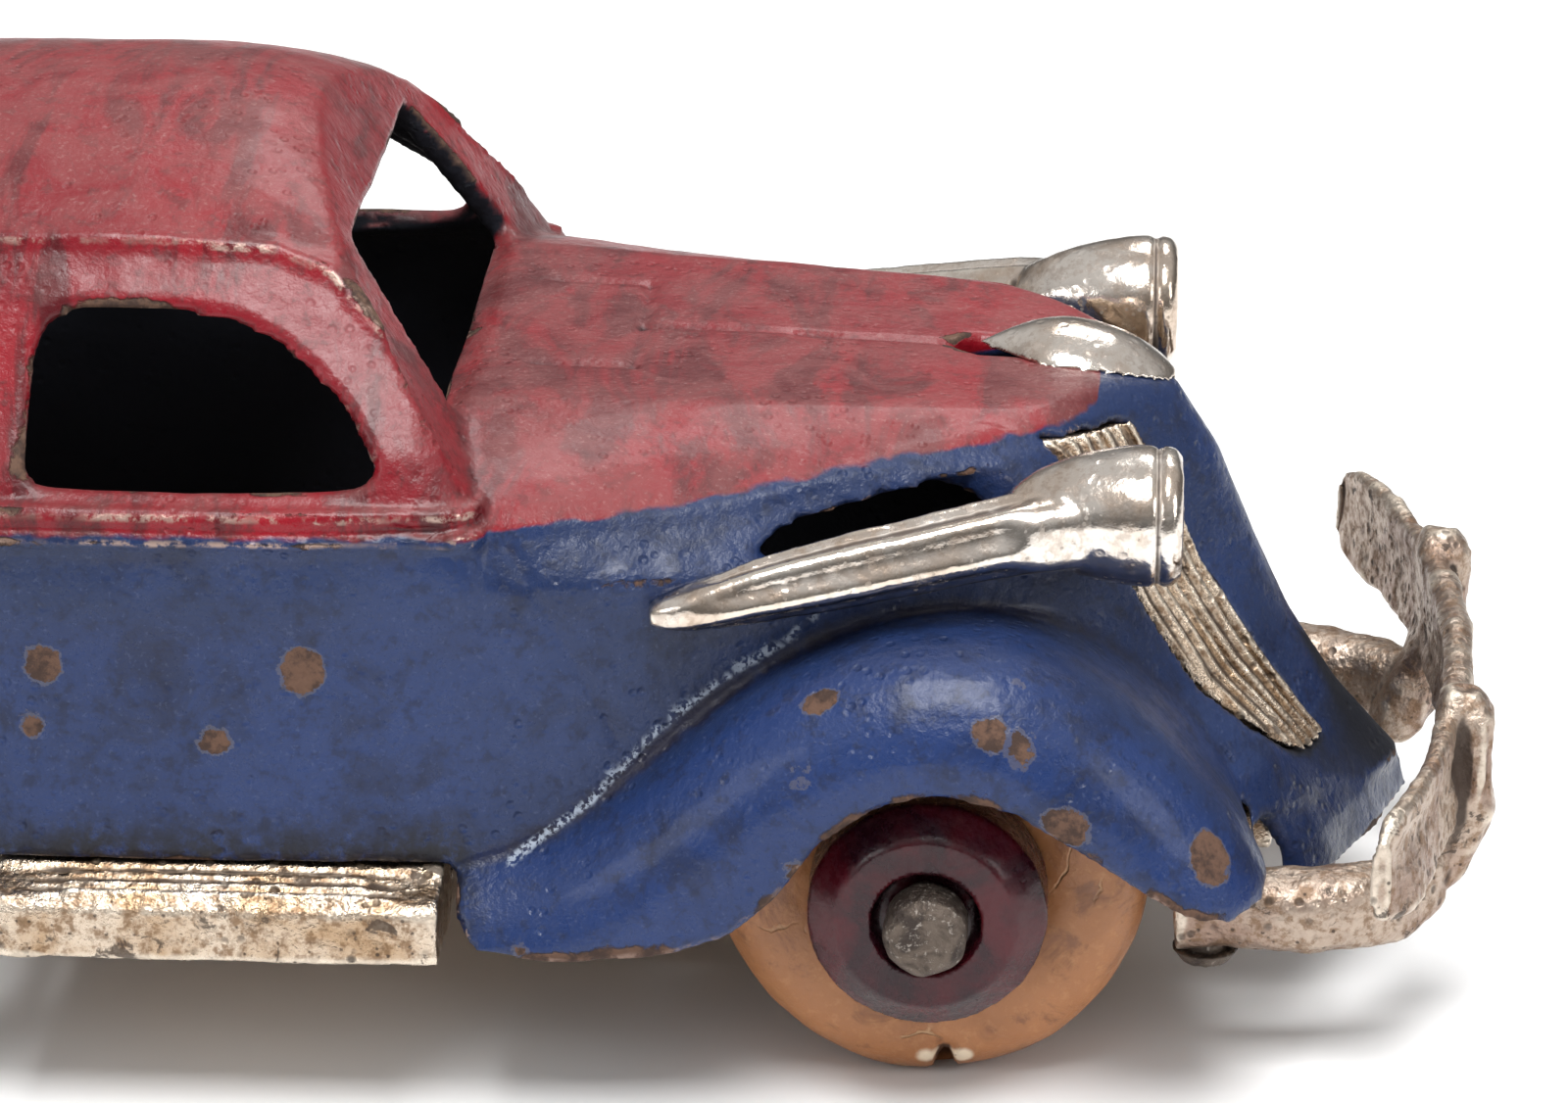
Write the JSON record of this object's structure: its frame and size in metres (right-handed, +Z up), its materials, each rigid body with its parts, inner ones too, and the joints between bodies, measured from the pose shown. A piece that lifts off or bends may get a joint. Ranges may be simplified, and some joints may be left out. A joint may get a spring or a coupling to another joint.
{
  "type": "toy car",
  "caption": "Cast-iron toy saloon car with hollow two-tone body, plated chassis, grille, lamps and bumpers, and free-rolling rubber-tyred wheels on riveted axles.",
  "frame": {"origin": "on the ground, below the middle of the car's overall box", "axes": "+X towards the car's nose, +Y to the car's left, +Z up"},
  "size_m": [0.1388, 0.0584, 0.0513],
  "materials": {
    "body_paint": "worn gloss enamel, blue below the belt and red above, over cast iron",
    "nickel_plate": "tarnished nickel plate over a sand casting",
    "steel": "dull oxidised steel",
    "hub_paint": "glossy dark maroon enamel",
    "tyre_rubber": "hard aged tan rubber with fine cracks"
  },
  "bodies": {
    "car_body": {"body_shell": "body_paint", "chassis_frame": "nickel_plate", "grille_insert": "nickel_plate", "hood_crest": "nickel_plate", "headlamp_right": "nickel_plate", "headlamp_left": "nickel_plate", "front_bumper": "nickel_plate", "rear_bumper": "nickel_plate", "body_screw_front": "steel", "body_screw_rear": "steel", "front_bumper_rivet_left": "steel", "front_bumper_rivet_right": "steel", "rear_bumper_rivet_left": "steel", "rear_bumper_rivet_right": "steel"},
    "front_axle_rod": {"front_axle": "steel"},
    "rear_axle_rod": {"rear_axle": "steel"},
    "wheel_front_left": {"hub_front_left": "hub_paint", "tyre_front_left": "tyre_rubber"},
    "wheel_front_right": {"hub_front_right": "hub_paint", "tyre_front_right": "tyre_rubber"},
    "wheel_rear_left": {"hub_rear_left": "hub_paint", "tyre_rear_left": "tyre_rubber"},
    "wheel_rear_right": {"hub_rear_right": "hub_paint", "tyre_rear_right": "tyre_rubber"}
  },
  "joints": [
    {"name": "front_axle_spin", "type": "hinge", "parent": "car_body", "child": "front_axle_rod", "pos_m": [0.038, 0, 0.012], "axis": [0, 1, 0], "continuous": true},
    {"name": "rear_axle_spin", "type": "hinge", "parent": "car_body", "child": "rear_axle_rod", "pos_m": [-0.038, 0, 0.012], "axis": [0, 1, 0], "continuous": true},
    {"name": "wheel_front_left_spin", "type": "hinge", "parent": "front_axle_rod", "child": "wheel_front_left", "pos_m": [0.038, 0.0176, 0.012], "axis": [0, 1, 0], "continuous": true},
    {"name": "wheel_front_right_spin", "type": "hinge", "parent": "front_axle_rod", "child": "wheel_front_right", "pos_m": [0.038, -0.0176, 0.012], "axis": [0, 1, 0], "continuous": true},
    {"name": "wheel_rear_left_spin", "type": "hinge", "parent": "rear_axle_rod", "child": "wheel_rear_left", "pos_m": [-0.038, 0.0176, 0.012], "axis": [0, 1, 0], "continuous": true},
    {"name": "wheel_rear_right_spin", "type": "hinge", "parent": "rear_axle_rod", "child": "wheel_rear_right", "pos_m": [-0.038, -0.0176, 0.012], "axis": [0, 1, 0], "continuous": true}
  ]
}
